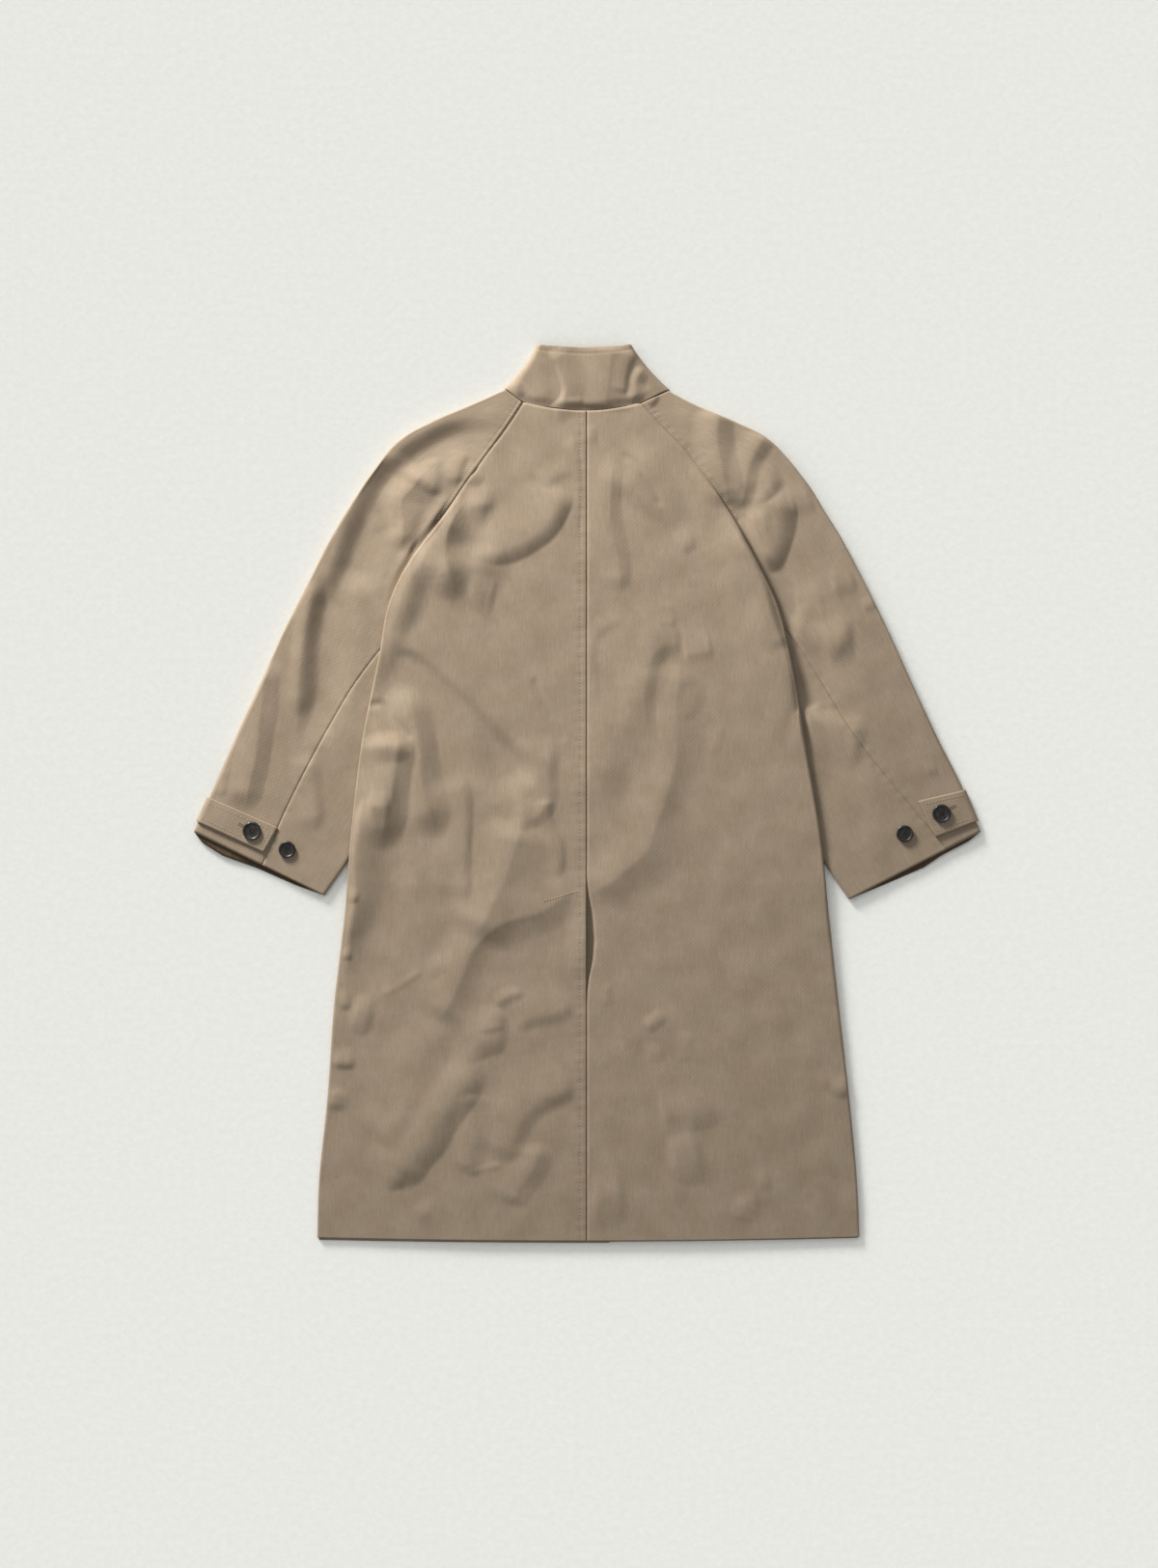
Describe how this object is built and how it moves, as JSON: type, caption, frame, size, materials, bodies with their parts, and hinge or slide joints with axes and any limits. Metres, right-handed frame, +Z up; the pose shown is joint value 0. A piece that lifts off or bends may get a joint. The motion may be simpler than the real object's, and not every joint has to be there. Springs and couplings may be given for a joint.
{
  "type": "balmacaan coat",
  "caption": "Knee-length raglan-sleeve cloth coat laid flat on its front, collar turned up, with a lapped centre-back vent and buttoned cuff straps.",
  "frame": {"origin": "on the floor under the middle of the laid-out coat", "axes": "+Y from the hem to the collar, +X to the wearer's right, +Z up from the floor to the coat's back"},
  "size_m": [1.0188, 1.1622, 0.0185],
  "materials": {
    "twill": "matt cotton twill with a faint sheen",
    "horn": "polished dark horn"
  },
  "bodies": {
    "root": {"back_left": "twill", "back_right": "twill", "front_left": "twill", "front_right": "twill", "sleeve_upper_left": "twill", "sleeve_upper_right": "twill", "sleeve_under_left": "twill", "sleeve_under_right": "twill", "collar": "twill", "cuff_strap_left": "twill", "cuff_strap_right": "twill", "button_strap_left": "horn", "button_strap_right": "horn", "button_cuff_left": "horn", "button_cuff_right": "horn"}
  },
  "joints": []
}
